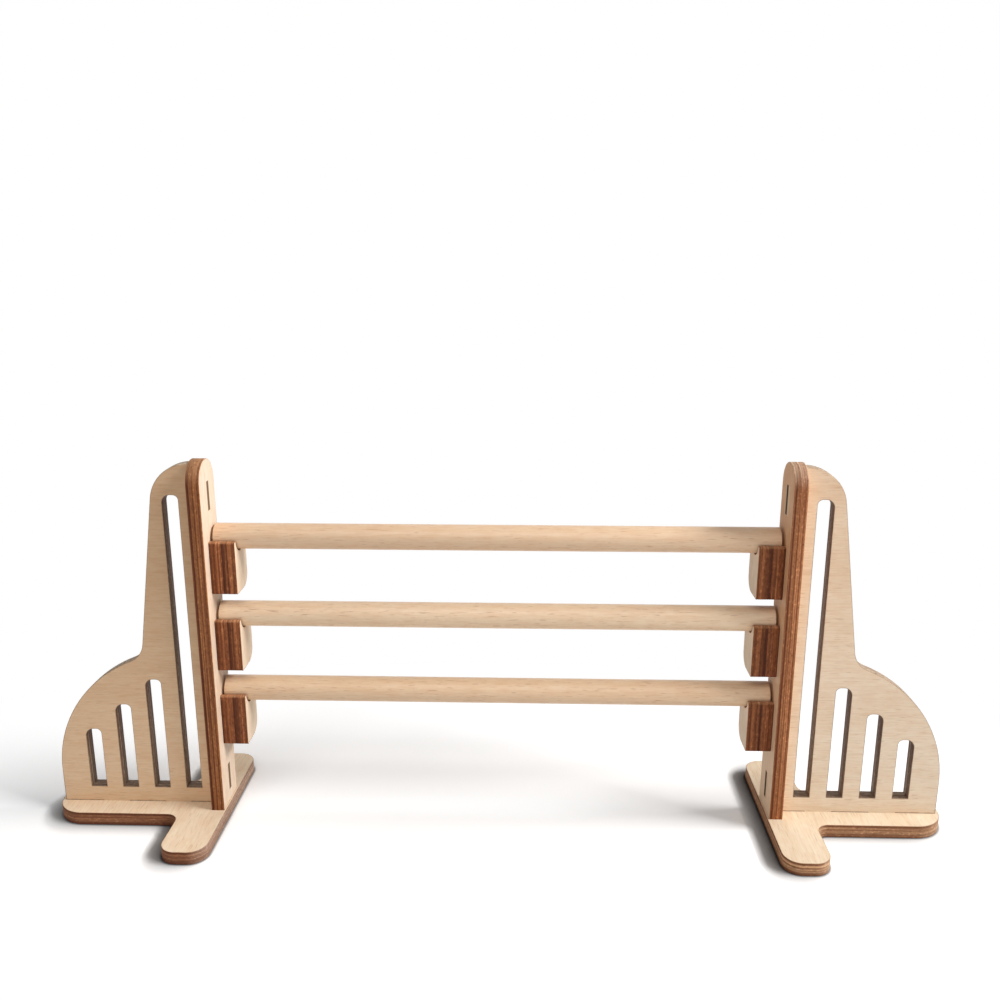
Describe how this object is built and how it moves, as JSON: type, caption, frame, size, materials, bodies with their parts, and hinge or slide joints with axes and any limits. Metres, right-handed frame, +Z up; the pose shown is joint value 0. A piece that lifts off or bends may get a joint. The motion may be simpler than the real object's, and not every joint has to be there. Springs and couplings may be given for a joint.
{
  "type": "toy show jump",
  "caption": "Toy show jump of facing plywood wings, each a slotted panel and post on a flat base, with round poles resting loose in notched cups on the posts.",
  "frame": {"origin": "on the ground, half way between the two wings and in the middle of the panels' thickness", "axes": "+X along the poles to the right wing, +Y to the back, +Z up"},
  "size_m": [0.2072, 0.0434, 0.0862],
  "materials": {
    "base_ply": "bare",
    "panel_ply": "bare",
    "post_ply": "bare",
    "cup_ply": "bare",
    "dowel": "bare"
  },
  "bodies": {
    "left_wing": {"left_base": "base_ply", "left_panel": "panel_ply", "left_post": "post_ply", "left_bottom_cup_outer": "cup_ply", "left_bottom_cup_inner": "cup_ply", "left_middle_cup_outer": "cup_ply", "left_middle_cup_inner": "cup_ply", "left_top_cup_outer": "cup_ply", "left_top_cup_inner": "cup_ply"},
    "right_wing": {"right_base": "base_ply", "right_panel": "panel_ply", "right_post": "post_ply", "right_bottom_cup_outer": "cup_ply", "right_bottom_cup_inner": "cup_ply", "right_middle_cup_outer": "cup_ply", "right_middle_cup_inner": "cup_ply", "right_top_cup_outer": "cup_ply", "right_top_cup_inner": "cup_ply"},
    "bottom_pole": {"bottom_pole": "dowel"},
    "middle_pole": {"middle_pole": "dowel"},
    "top_pole": {"top_pole": "dowel"}
  },
  "joints": [
    {"name": "right_wing_spacing", "type": "slide", "parent": "left_wing", "child": "right_wing", "axis": [1, 0, 0], "range_m": [0, 0.004]},
    {"name": "bottom_pole_lift", "type": "slide", "parent": "left_wing", "child": "bottom_pole", "axis": [0, 0, 1], "range_m": [0, 0.0029]},
    {"name": "middle_pole_lift", "type": "slide", "parent": "left_wing", "child": "middle_pole", "axis": [0, 0, 1], "range_m": [0, 0.0029]},
    {"name": "top_pole_lift", "type": "slide", "parent": "left_wing", "child": "top_pole", "axis": [0, 0, 1], "range_m": [0, 0.021]}
  ]
}
